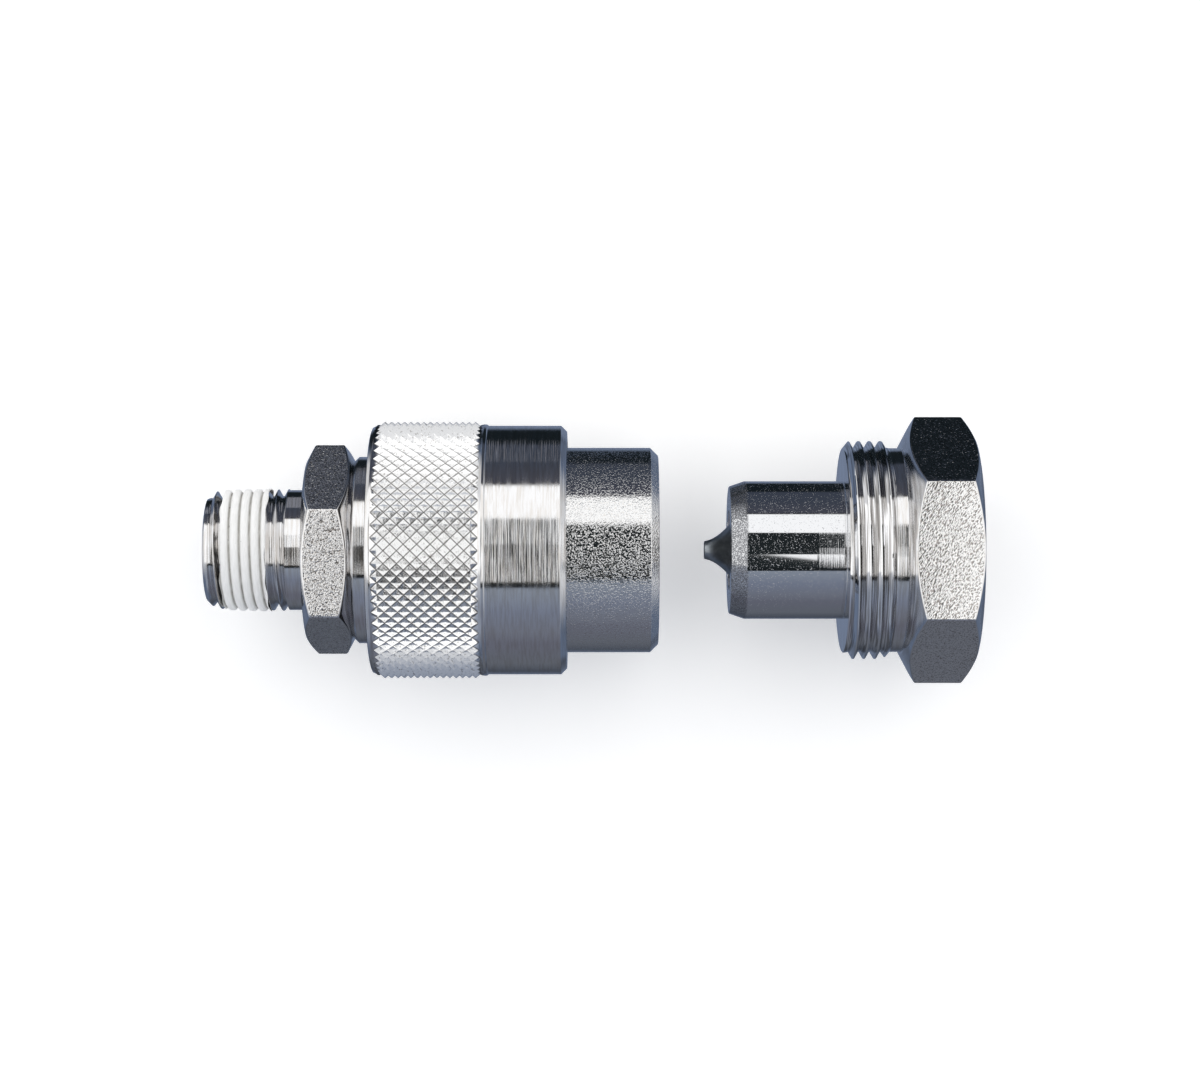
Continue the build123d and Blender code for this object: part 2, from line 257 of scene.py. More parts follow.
def thread(mesh, section, pitch, crest_at, start, end, columns, shape):
    """Right-hand thread between two planes across the axis. One of its crests passes +Y at crest_at,
    and shape gives the radius for a place on the axis and a height above the crest."""
    old = set(mesh.verts)
    first = crest_at + math.floor((start - crest_at) / pitch - 1) * pitch
    turns = math.ceil((end - first) / pitch)
    middle_r = 10.0
    points = [(first + share * pitch, middle_r + height) for share, height in section]
    verts = [mesh.verts.new(Vector((x, radius, 0)) * MM) for x, radius in points]
    edges = [mesh.edges.new(pair) for pair in zip(verts, verts[1:])]
    step = (pitch * MM / columns, 0, 0)
    bmesh.ops.spin(mesh, geom=verts + edges, axis=(1, 0, 0), angle=math.tau, steps=columns, dvec=step)
    one_turn = [face for face in mesh.faces if old.isdisjoint(face.verts)]
    for turn in range(1, turns):
        copied = bmesh.ops.duplicate(mesh, geom=one_turn)["geom"]
        copied_verts = [item for item in copied if isinstance(item, bmesh.types.BMVert)]
        bmesh.ops.translate(mesh, vec=(turn * pitch * MM, 0, 0), verts=copied_verts)
    own = [vert for vert in mesh.verts if vert not in old]
    bmesh.ops.remove_doubles(mesh, verts=own, dist=MERGE * MM)
    own = [vert for vert in mesh.verts if vert not in old]
    for vert in own:
        x = vert.co.x / MM
        height = math.hypot(vert.co.y, vert.co.z) / MM - middle_r
        place([vert], (x, shape(x, height)))
    for x, side in ((start, -1), (end, 1)):
        own = [vert for vert in mesh.verts if vert not in old]
        edges = {edge for vert in own for edge in vert.link_edges}
        faces = {face for vert in own for face in vert.link_faces}
        bmesh.ops.bisect_plane(
            mesh,
            geom=own + list(edges) + list(faces),
            dist=TINY * MM,
            plane_co=(x * MM, 0, 0),
            plane_no=(side, 0, 0),
            clear_outer=True,
        )


def hex_r(flats, turn, angle):
    """Distance from the axis to the flats of a hexagon in this direction."""
    return flats / 2 / math.cos((angle - turn) % SIXTH - SIXTH / 2)


def hex_rings(flats, turn, near_x, near_r, far_x):
    """The four rings of a hexagon whose ends are turned down to a cone."""
    far_r = flats / 2 - face_margin

    def near_edge(angle):
        radius = hex_r(flats, turn, angle)
        return near_x + (radius - near_r) * hex_slope, radius

    def far_edge(angle):
        radius = hex_r(flats, turn, angle)
        return far_x - (radius - far_r) * hex_slope, radius

    return [(near_x, near_r), near_edge, far_edge, (far_x, far_r)]


def soften(mesh, from_x, to_x, inner_r, width):
    """Bevels the sharp edges of a hexagon slightly."""
    edges = [
        edge
        for edge in mesh.edges
        if len(edge.link_faces) == 2
        and edge.calc_face_angle() > SMOOTH_BELOW
        and all(
            from_x * MM - TINY < vert.co.x < to_x * MM + TINY and vert.co.yz.length > inner_r * MM
            for vert in edge.verts
        )
    ]
    bmesh.ops.bevel(
        mesh,
        geom=edges,
        offset=width * MM,
        segments=2,
        profile=0.5,
        affect="EDGES",
        material=-1,
        clamp_overlap=True,
    )


def make_piece(mesh, name, body, replaced, materials, choose=None, flat=None):
    """Closes a mesh, gives it its materials, hangs it on its body and hides the solid that it replaces.
    Its roundings are shaded so that the stretches between them keep their own true direction."""
    bmesh.ops.remove_doubles(mesh, verts=mesh.verts, dist=MERGE * MM)
    bmesh.ops.recalc_face_normals(mesh, faces=mesh.faces)
    for face in mesh.faces:
        face.smooth = not (flat and flat(face))
        face.material_index = choose(face) if choose else 0
    data = bpy.data.meshes.new(name)
    mesh.to_mesh(data)
    mesh.free()
    data.set_sharp_from_angle(angle=SMOOTH_BELOW)
    piece = bpy.data.objects.new(name, data)
    bpy.context.scene.collection.objects.link(piece)
    for material in materials:
        data.materials.append(material)
    shading = piece.modifiers.new("shading", "WEIGHTED_NORMAL")
    shading.keep_sharp = True
    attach(piece, body)
    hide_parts(replaced)
    return piece


def middle(face):
    """Middle of a face as (x, radius)."""
    centre = face.calc_center_median() / MM
    return centre.x, math.hypot(centre.y, centre.z)


# Materials


# Where most values of a noise lie, and nearly all of them
MOST = {"From Min": 0.35, "From Max": 0.65}
NEARLY_ALL = {"From Min": 0.3, "From Max": 0.7}


def linear(code):
    """Linear colour of an sRGB hex value."""

    def channel(start):
        share = int(code[start : start + 2], 16) / 255
        return share / 12.92 if share <= 0.04045 else ((share + 0.055) / 1.055) ** 2.4

    return [channel(start) for start in (1, 3, 5)] + [1]


def add(tree, kind, inputs=None, out=0, **settings):
    """Adds a node with its settings and links, and returns one of its outputs. An input is a number, a
    hex colour or the socket that feeds it."""
    node = tree.nodes.new("ShaderNode" + kind)
    for name, value in settings.items():
        setattr(node, name, value)
    for name, value in (inputs or {}).items():
        if isinstance(value, bpy.types.NodeSocket):
            tree.links.new(value, node.inputs[name])
        else:
            node.inputs[name].default_value = linear(value) if isinstance(value, str) else value
    return node.outputs[out] if node.outputs else node


def new_material(name):
    """An empty material, its node tree and the place on the piece in metres."""
    material = bpy.data.materials.new(name)
    material.use_nodes = True
    tree = material.node_tree
    tree.nodes.clear()
    return material, tree, add(tree, "TexCoord", out="Object")


def per_mm(*sizes):
    """Mapping scale that gives a noise blobs of these many millimetres along X, Y and Z."""
    return [1 / (size * MM) for size in sizes]


def turned_nickel(name, depth):
    """Bright nickel over turned steel: fine tool lines run round the axis and streak what it reflects,
    the more so the deeper they are."""
    material, tree, here = new_material(name)
    fine = add(tree, "Mapping", {"Vector": here, "Scale": per_mm(0.15, 16, 16)})
    lines = add(tree, "TexNoise", {"Vector": fine, "Scale": 1, "Detail": 2, "Roughness": 0.6})
    wide = add(tree, "Mapping", {"Vector": here, "Scale": per_mm(0.6, 30, 30)})
    feed = add(tree, "TexNoise", {"Vector": wide, "Scale": 1, "Detail": 0})
    mottled = add(tree, "Mapping", {"Vector": here, "Scale": per_mm(0.3, 3, 3)})
    stains = add(tree, "TexNoise", {"Vector": mottled, "Scale": 1, "Detail": 2})
    clean = add(tree, "MapRange", {"Value": stains, "From Min": 0.35, "From Max": 0.6})
    colour = add(tree, "Mix", {0: clean, 6: "#D2CFCC", 7: "#DEDEDF"}, out=2, data_type="RGBA")
    dull = add(tree, "MapRange", {"Value": feed, **MOST, "To Min": 0.08, "To Max": 0.14})
    waved = add(tree, "Bump", {"Height": feed, "Distance": depth * 0.4 * MM})
    cut = add(tree, "Bump", {"Height": lines, "Distance": depth * MM, "Normal": waved})
    look = {"Metallic": 1, "Base Color": colour, "Roughness": dull, "Normal": cut}
    add(tree, "OutputMaterial", {"Surface": add(tree, "BsdfPrincipled", look)})
    return material


def threaded_nickel():
    """Nickel over the ring's cut thread: polished crests, and darker flanks streaked by the tool."""
    material, tree, here = new_material("threaded_nickel")
    across = add(tree, "VectorMath", {0: here, 1: (0, 1, 1)}, operation="MULTIPLY")
    radius = add(tree, "VectorMath", {0: across}, out="Value", operation="LENGTH")
    crest = ring_crest_r * MM
    crests = add(
        tree, "MapRange", {"Value": radius, "From Min": crest - 0.4 * MM, "From Max": crest - 0.15 * MM}
    )
    fine = add(tree, "Mapping", {"Vector": here, "Scale": per_mm(0.18, 9, 9)})
    lines = add(tree, "TexNoise", {"Vector": fine, "Scale": 1, "Detail": 1})
    clear = add(tree, "MapRange", {"Value": lines, "From Min": 0.44, "From Max": 0.54})
    flank = add(tree, "Mix", {0: clear, 6: "#B4B2B0", 7: "#F4F4F5"}, out=2, data_type="RGBA")
    colour = add(tree, "Mix", {0: crests, 6: flank, 7: "#E6E6E6"}, out=2, data_type="RGBA")
    dull = add(tree, "MapRange", {"Value": lines, **MOST, "To Min": 0.1, "To Max": 0.05})
    cut = add(tree, "Bump", {"Height": lines, "Distance": 0.004 * MM})
    look = {"Metallic": 1, "Base Color": colour, "Roughness": dull, "Normal": cut}
    add(tree, "OutputMaterial", {"Surface": add(tree, "BsdfPrincipled", look)})
    return material


def satin_nickel():
    """Nickel over blasted steel: a grain of about 0.2 mm breaks up every reflection into specks. The
    real grain is finer, and drawn this coarse so that it shows."""
    material, tree, here = new_material("satin_nickel")
    blasted = add(tree, "Mapping", {"Vector": here, "Scale": per_mm(0.21, 0.21, 0.21)})
    grain = add(tree, "TexNoise", {"Vector": blasted, "Scale": 1, "Detail": 1})
    dents = add(tree, "MapRange", {"Value": grain, "From Min": 0.56, "From Max": 0.66})
    cloudy = add(tree, "Mapping", {"Vector": here, "Scale": per_mm(1.2, 1.2, 1.2)})
    clouds = add(tree, "TexNoise", {"Vector": cloudy, "Scale": 1, "Detail": 3})
    open_skin = add(tree, "MapRange", {"Value": grain, "From Min": 0.3, "From Max": 0.42})
    colour = add(tree, "Mix", {0: open_skin, 6: "#CFCCC9", 7: "#DCDCDC"}, out=2, data_type="RGBA")
    dull = add(tree, "MapRange", {"Value": clouds, **MOST, "To Min": 0.05, "To Max": 0.08})
    dented = add(tree, "Bump", {"Height": dents, "Distance": 0.016 * MM})
    rough = add(tree, "Bump", {"Height": grain, "Distance": 0.015 * MM, "Normal": dented})
    look = {"Metallic": 1, "Base Color": colour, "Roughness": dull, "Normal": rough}
    add(tree, "OutputMaterial", {"Surface": add(tree, "BsdfPrincipled", look)})
    return material


def drawn_flats(name, pit, stretch, depth, dullness):
    """Nickel over the drawn faces of hexagon bar: shallow slanting pits, so that a flat mixes light and
    dark specks, and scattered knocks. They are a little coarser than the real ones, so that they show."""
    material, tree, here = new_material(name)
    slanted = add(tree, "Mapping", {"Vector": here, "Rotation": (0, 0, math.radians(38))})
    stretched = add(tree, "Mapping", {"Vector": slanted, "Scale": per_mm(pit, pit * stretch, pit)})
    pits = add(tree, "TexNoise", {"Vector": stretched, "Scale": 1, "Detail": 0})
    skin = add(tree, "MapRange", {"Value": pits, "From Min": 0.36, "From Max": 0.44})
    coarse = add(tree, "Mapping", {"Vector": here, "Scale": per_mm(0.3, 0.3, 0.3)})
    knocks = add(tree, "TexNoise", {"Vector": coarse, "Scale": 1, "Detail": 1})
    dents = add(tree, "MapRange", {"Value": knocks, "From Min": 0.62, "From Max": 0.72})
    colour = add(tree, "Mix", {0: skin, 6: "#A7A29E", 7: "#E2E1E0"}, out=2, data_type="RGBA")
    dull = add(tree, "MapRange", {"Value": pits, **MOST, "To Max": dullness})
    dented = add(tree, "Bump", {"Height": dents, "Distance": 0.022 * MM})
    drawn = add(tree, "Bump", {"Height": pits, "Distance": depth * MM, "Normal": dented})
    look = {"Metallic": 1, "Base Color": colour, "Roughness": dull, "Normal": drawn}
    add(tree, "OutputMaterial", {"Surface": add(tree, "BsdfPrincipled", look)})
    return material


def polished_nickel():
    """Nickel over the ground nose: almost a mirror, scratched dark at its lead and ground a little
    duller near the ring."""
    material, tree, here = new_material("polished_nickel")
    x = add(tree, "SeparateXYZ", {"Vector": here})
    lead_end = (nose_face + nose_lead) * MM
    lead = add(tree, "MapRange", {"Value": x, "From Min": lead_end + 0.3 * MM, "From Max": lead_end})
    ground_from = (ring_x - 4.1) * MM
    ground = add(
        tree, "MapRange", {"Value": x, "From Min": ground_from, "From Max": ground_from + 0.2 * MM}
    )
    small = add(tree, "Mapping", {"Vector": here, "Scale": per_mm(0.19, 0.13, 0.13)})
    nicks = add(tree, "TexNoise", {"Vector": small, "Scale": 1, "Detail": 2})
    round_axis = add(tree, "Mapping", {"Vector": here, "Scale": per_mm(0.17, 4, 4)})
    lines = add(tree, "TexNoise", {"Vector": round_axis, "Scale": 1, "Detail": 2})
    rubbed = add(tree, "MapRange", {"Value": nicks, "From Min": 0.36, "From Max": 0.54})
    bare = add(tree, "Math", {0: lead, 1: rubbed}, operation="MULTIPLY")
    colour = add(tree, "Mix", {0: bare, 6: "#D6D7D9", 7: "#88898C"}, out=2, data_type="RGBA")
    dull = add(tree, "MapRange", {"Value": ground, "To Min": 0.04, "To Max": 0.07})
    line_height = add(tree, "Math", {0: lines, 1: ground}, operation="MULTIPLY")
    turned_band = add(tree, "Bump", {"Height": line_height, "Distance": 0.003 * MM})
    worn = add(tree, "Math", {0: lead, 1: 0.16, 2: nicks}, operation="MULTIPLY_ADD")
    dents = add(tree, "MapRange", {"Value": worn, "From Min": 0.66, "From Max": 0.72})
    nicked = add(tree, "Bump", {"Height": dents, "Distance": 0.02 * MM, "Normal": turned_band})
    look = {"Metallic": 1, "Base Color": colour, "Roughness": dull, "Normal": nicked}
    add(tree, "OutputMaterial", {"Surface": add(tree, "BsdfPrincipled", look)})
    return material


def knurled_nickel():
    """Nickel over rolled knurl points: bright pressed facets, a little torn, and grooves darkened by
    painted shade.
    """
    material, tree, here = new_material("knurled_nickel")
    small = add(tree, "Mapping", {"Vector": here, "Scale": per_mm(0.4, 0.4, 0.4)})
    torn = add(tree, "TexNoise", {"Vector": small, "Scale": 1, "Detail": 2})
    across = add(tree, "VectorMath", {0: here, 1: (0, 1, 1)}, operation="MULTIPLY")
    radius = add(tree, "VectorMath", {0: across}, out="Value", operation="LENGTH")
    root = knurl_root_r * MM
    # Painted shade: the colour darkens to #6C6966 towards the roots of the grooves.
    clear_of_groove_shade = add(
        tree, "MapRange", {"Value": radius, "From Min": root, "From Max": root + 0.08 * MM}
    )
    sound = add(tree, "MapRange", {"Value": torn, "From Min": 0.3, "From Max": 0.4})
    metal = add(tree, "Mix", {0: sound, 6: "#BCBAB8", 7: "#ECECEC"}, out=2, data_type="RGBA")
    colour = add(tree, "Mix", {0: clear_of_groove_shade, 6: "#6C6966", 7: metal}, out=2, data_type="RGBA")
    dull = add(tree, "MapRange", {"Value": torn, **MOST, "To Min": 0.1, "To Max": 0.18})
    pressed = add(tree, "Bump", {"Height": torn, "Distance": 0.02 * MM})
    look = {"Metallic": 1, "Base Color": colour, "Roughness": dull, "Normal": pressed}
    add(tree, "OutputMaterial", {"Surface": add(tree, "BsdfPrincipled", look)})
    return material


def black_oxide():
    """Black oxide on the turned valve: a dark slate grey that brightens a little on its tool lines."""
    material, tree, here = new_material("black_oxide")
    fine = add(tree, "Mapping", {"Vector": here, "Scale": per_mm(0.14, 6, 6)})
    lines = add(tree, "TexNoise", {"Vector": fine, "Scale": 1, "Detail": 3})
    cloudy = add(tree, "Mapping", {"Vector": here, "Scale": per_mm(1.4, 1.4, 1.4)})
    clouds = add(tree, "TexNoise", {"Vector": cloudy, "Scale": 1, "Detail": 3})
    patches = add(tree, "MapRange", {"Value": clouds, **MOST})
    colour = add(tree, "Mix", {0: patches, 6: "#80868B", 7: "#A0A6AC"}, out=2, data_type="RGBA")
    dull = add(tree, "MapRange", {"Value": lines, **MOST, "To Min": 0.3, "To Max": 0.4})
    cut = add(tree, "Bump", {"Height": lines, "Distance": 0.006 * MM})
    look = {"Metallic": 1, "Base Color": colour, "Roughness": dull, "Normal": cut}
    add(tree, "OutputMaterial", {"Surface": add(tree, "BsdfPrincipled", look)})
    return material


def machined_steel():
    """Bare machined steel of the valve guides: grey, with feed lines."""
    material, tree, here = new_material("machined_steel")
    across = add(tree, "Mapping", {"Vector": here, "Scale": per_mm(4, 0.15, 4)})
    lines = add(tree, "TexNoise", {"Vector": across, "Scale": 1, "Detail": 3})
    ridges = add(tree, "MapRange", {"Value": lines, **MOST})
    colour = add(tree, "Mix", {0: ridges, 6: "#8E8D8B", 7: "#A9A9A8"}, out=2, data_type="RGBA")
    dull = add(tree, "MapRange", {"Value": lines, **NEARLY_ALL, "To Min": 0.28, "To Max": 0.4})
    cut = add(tree, "Bump", {"Height": lines, "Distance": 0.004 * MM})
    look = {"Metallic": 1, "Base Color": colour, "Roughness": dull, "Normal": cut}
    add(tree, "OutputMaterial", {"Surface": add(tree, "BsdfPrincipled", look)})
    return material


def drawn_wire():
    """Oiled spring wire: dark drawn steel with faint scratches."""
    material, tree, here = new_material("drawn_wire")
    small = add(tree, "Mapping", {"Vector": here, "Scale": per_mm(0.2, 0.2, 0.2)})
    scratches = add(tree, "TexNoise", {"Vector": small, "Scale": 1, "Detail": 4})
    rubbed = add(tree, "MapRange", {"Value": scratches, **MOST})
    colour = add(tree, "Mix", {0: rubbed, 6: "#5E5A55", 7: "#7E7A75"}, out=2, data_type="RGBA")
    dull = add(tree, "MapRange", {"Value": scratches, **NEARLY_ALL, "To Min": 0.26, "To Max": 0.4})
    scored = add(tree, "Bump", {"Height": scratches, "Distance": 0.004 * MM})
    look = {"Metallic": 1, "Base Color": colour, "Roughness": dull, "Normal": scored}
    add(tree, "OutputMaterial", {"Surface": add(tree, "BsdfPrincipled", look)})
    return material


def nitrile():
    """Moulded nitrile rubber: black, with the oil's faint sheen."""
    material, tree, here = new_material("nitrile")
    small = add(tree, "Mapping", {"Vector": here, "Scale": per_mm(0.3, 0.3, 0.3)})
    skin = add(tree, "TexNoise", {"Vector": small, "Scale": 1, "Detail": 3})
    colour = add(tree, "Mix", {0: skin, 6: "#0E0E0F", 7: "#1B1B1C"}, out=2, data_type="RGBA")
    dull = add(tree, "MapRange", {"Value": skin, **NEARLY_ALL, "To Min": 0.34, "To Max": 0.5})
    moulded = add(tree, "Bump", {"Height": skin, "Distance": 0.006 * MM})
    look = {"IOR": 1.52, "Base Color": colour, "Roughness": dull, "Normal": moulded}
    add(tree, "OutputMaterial", {"Surface": add(tree, "BsdfPrincipled", look)})
    return material


def cut_ptfe():
    """Machined PTFE rings: waxy white with fine turning lines."""
    material, tree, here = new_material("cut_ptfe")
    fine = add(tree, "Mapping", {"Vector": here, "Scale": per_mm(0.12, 5, 5)})
    lines = add(tree, "TexNoise", {"Vector": fine, "Scale": 1, "Detail": 2})
    colour = add(tree, "Mix", {0: lines, 6: "#D8D5CC", 7: "#ECEAE3"}, out=2, data_type="RGBA")
    dull = add(tree, "MapRange", {"Value": lines, **NEARLY_ALL, "To Min": 0.42, "To Max": 0.55})
    cut = add(tree, "Bump", {"Height": lines, "Distance": 0.004 * MM})
    look = {"IOR": 1.35, "Base Color": colour, "Roughness": dull, "Normal": cut}
    add(tree, "OutputMaterial", {"Surface": add(tree, "BsdfPrincipled", look)})
    return material


def ptfe_tape():
    """Stretched PTFE tape: matt white on the crests, where it lies double, grey in the grooves, partly
    painted shade and partly the steel showing through, with a few small torn holes."""
    material, tree, here = new_material("stretched_ptfe")
    x, y, z = add(tree, "SeparateXYZ", {"Vector": here}).node.outputs
    angle = add(tree, "Math", {0: z, 1: y}, operation="ARCTAN2")
    turn = add(tree, "Math", {0: angle, 1: math.tau}, operation="DIVIDE")
    from_crest = add(
        tree, "Math", {0: x, 1: (nipple_end + pipe_crest_place) * MM}, operation="SUBTRACT"
    )
    pitches = add(tree, "Math", {0: from_crest, 1: pipe_pitch * MM}, operation="DIVIDE")
    helix = add(tree, "Math", {0: pitches, 1: turn}, operation="SUBTRACT")
    place_in_pitch = add(tree, "Math", {0: helix}, operation="FRACT")
    off_groove = add(tree, "Math", {0: place_in_pitch, 1: 0.5}, operation="SUBTRACT")
    distance = add(tree, "Math", {0: off_groove}, operation="ABSOLUTE")
    groove = add(tree, "MapRange", {"Value": distance, "From Min": 0.19, "From Max": 0.05})
    drawn = add(tree, "Mapping", {"Vector": here, "Scale": per_mm(0.22, 1.6, 1.6)})
    fibres = add(tree, "TexNoise", {"Vector": drawn, "Scale": 1, "Detail": 4})
    small = add(tree, "Mapping", {"Vector": here, "Scale": per_mm(0.34, 0.5, 0.5)})
    holes = add(tree, "TexNoise", {"Vector": small, "Scale": 1, "Detail": 2})
    streaks = add(tree, "MapRange", {"Value": fibres, **NEARLY_ALL})
    white = add(tree, "Mix", {0: streaks, 6: "#F2F2F0", 7: "#FEFEFD"}, out=2, data_type="RGBA")
    thinned = add(
        tree,
        "MapRange",
        {"Value": fibres, "From Min": 0.25, "From Max": 0.6, "To Min": 0.4, "To Max": 1},
    )
    # Painted shade in the grooves: grey #A9A7A1 where the tape is thinnest, partly shade and partly the
    # steel showing through.
    groove_shade_and_see_through = add(tree, "Math", {0: groove, 1: thinned}, operation="MULTIPLY")
    film = add(tree, "Mix", {0: groove_shade_and_see_through, 6: white, 7: "#A9A7A1"}, out=2, data_type="RGBA")
    torn = add(tree, "Math", {0: groove, 1: -0.06, 2: holes}, operation="MULTIPLY_ADD")
    whole = add(tree, "MapRange", {"Value": torn, "From Min": 0.21, "From Max": 0.25})
    colour = add(tree, "Mix", {0: whole, 6: "#4A4643", 7: film}, out=2, data_type="RGBA")
    dull = add(tree, "MapRange", {"Value": fibres, **NEARLY_ALL, "To Min": 0.45, "To Max": 0.62})
    creased = add(tree, "Bump", {"Height": fibres, "Distance": 0.03 * MM})
    look = {"IOR": 1.35, "Base Color": colour, "Roughness": dull, "Normal": creased}
    add(tree, "OutputMaterial", {"Surface": add(tree, "BsdfPrincipled", look)})
    return material


def pale_floor():
    """Smooth white card: matt, and lit a little from behind so that it stays pale round the object."""
    material, tree, here = new_material("pale_floor")
    wide = add(tree, "Mapping", {"Vector": here, "Scale": per_mm(40, 40, 40)})
    clouds = add(tree, "TexNoise", {"Vector": wide, "Scale": 1, "Detail": 2})
    colour = add(tree, "Mix", {0: clouds, 6: "#F4F4F4", 7: "#F6F6F6"}, out=2, data_type="RGBA")
    look = {"Base Color": colour, "Roughness": 0.8, "Emission Color": "#FFFFFF", "Emission Strength": 0.3}
    add(tree, "OutputMaterial", {"Surface": add(tree, "BsdfPrincipled", look)})
    return material


turned = turned_nickel("turned_nickel", 0.007)
brushed = turned_nickel("brushed_nickel", 0.023)
threaded = threaded_nickel()
satin = satin_nickel()
large_flats = drawn_flats("drawn_flats", 0.15, 2.4, 0.012, 0.13)
small_flats = drawn_flats("blasted_flats", 0.19, 1.3, 0.06, 0.3)
mirror = polished_nickel()
knurled = knurled_nickel()
oxide = black_oxide()
wire = drawn_wire()


# Pieces


def socket_body():
    """Head with the nose bore, step and tail, turned in one piece."""
    seat_back = valve_shoulder_x - throat_length - (chamber_r - throat_r)
    groove_rear, groove_front, groove_r = seal_groove
    outline = eased(
        (body_rear, spigot_bore_r, 0.15),
        (body_rear, tail_r - tail_chamfer, 0.12),
        (body_rear + tail_chamfer, tail_r, 0.12),
        (step_x, tail_r),
        (step_x, head_r, 0.15),
        (body_front - head_chamfer, head_r, 0.14),
        (body_front, head_r - head_chamfer, 0.14),
        (body_front, nose_bore_r + mouth_chamfer, 0.12),
        (body_front - mouth_chamfer, nose_bore_r, 0.15),
        (groove_front, nose_bore_r, 0.1),
        (groove_front, groove_r),
        (groove_rear, groove_r),
        (groove_rear, nose_bore_r, 0.1),
        (valve_shoulder_x, nose_bore_r, 0.2),
        (valve_shoulder_x, throat_r, 0.2),
        (valve_shoulder_x - throat_length, throat_r),
        (seat_back, chamber_r),
        (spigot_front, chamber_r),
        (spigot_front, spigot_bore_r),
    )

    def finish(face):
        x, radius = middle(face)
        return 1 if x > step_x and radius > nose_bore_r + mouth_chamfer else 0

    make_piece(
        lathe(outline),
        "turned_socket_body",
        "socket",
        "socket_body",
        [turned, satin],
        choose=finish,
    )


def rear_adapter():
    """Nipple with its taper thread, neck, hexagon and spigot, in one piece."""
    mesh = bmesh.new()

    def shape(x, height):
        crest = nipple_crest_r + (x - nipple_end) * pipe_taper
        return min(crest + height, nipple_end_r + x - nipple_end)

    section = thread_section(nipple_depth, pipe_pitch, 0.12)
    thread(mesh, section, pipe_pitch, nipple_end + pipe_crest_place, nipple_end, neck_x, COLUMNS, shape)
    tidy_loop(mesh, nipple_end, COLUMNS, (nipple_end, nipple_end_r))
    outer = tidy_loop(mesh, neck_x, COLUMNS)
    hex_face_r = small_hex_flats / 2 - face_margin
    hexagon = hex_rings(small_hex_flats, small_hex_turn, small_hex_x, hex_face_r, body_rear)
    inside = eased(
        (body_rear, spigot_r),
        (spigot_front, spigot_r, 0.4),
        (spigot_front, passage_r, 0.2),
        (nipple_end, passage_r, 0.5),
        (nipple_end, nipple_end_r),
    )
    neck = eased((neck_x, neck_r), (small_hex_x, neck_r, 0.35), (small_hex_x, hex_face_r))
    carry_on(mesh, outer, neck[:-1] + hexagon + inside)
    bmesh.ops.remove_doubles(mesh, verts=mesh.verts, dist=MERGE * MM)
    soften(mesh, small_hex_x, body_rear, hex_face_r - 0.1, 0.22)

    def on_flat(face):
        x, radius = middle(face)
        return small_hex_x < x < body_rear and radius > hex_face_r and abs(face.normal.x) < 0.001

    make_piece(
        mesh,
        "turned_rear_adapter",
        "socket",
        "rear_adapter",
        [turned, small_flats],
        choose=on_flat,
        flat=on_flat,
    )


def wound_tape():
    """Sealing tape wound over the nipple's thread, pulled down between its crests."""
    mesh = bmesh.new()
    sag = 0.5
    thickness = 0.09
    lift = 0.06
    ragged_width = 0.5
    ragged_depth = 0.3
    rear = tape_rear + 0.5
    front = tape_front + 0.6
    shares = [step / 12 for step in range(13)]
    section = [(share, -sag * (0.5 - 0.5 * math.cos(math.tau * share)) ** 2.6) for share in shares]
    for outward in (lift, lift + thickness):

        def shape(x, height):
            return nipple_crest_r + (x - nipple_end) * pipe_taper + height + outward

        thread(mesh, section, pipe_pitch, nipple_end + pipe_crest_place, rear, front, COLUMNS, shape)
    for x in (rear, front):
        bmesh.ops.bridge_loops(mesh, edges=tidy_loop(mesh, x, COLUMNS))
    for vert in mesh.verts:
        ragged = noise.noise(Vector((angle_of(vert) * 3, vert.co.x * 60, 0)))
        for edge_x in (rear, front):
            near = max(0, 1 - abs(vert.co.x / MM - edge_x) / ragged_width)
            vert.co.x += ragged * near * ragged_depth * MM
    make_piece(mesh, "wound_tape", "socket", "thread_tape", [ptfe_tape()])


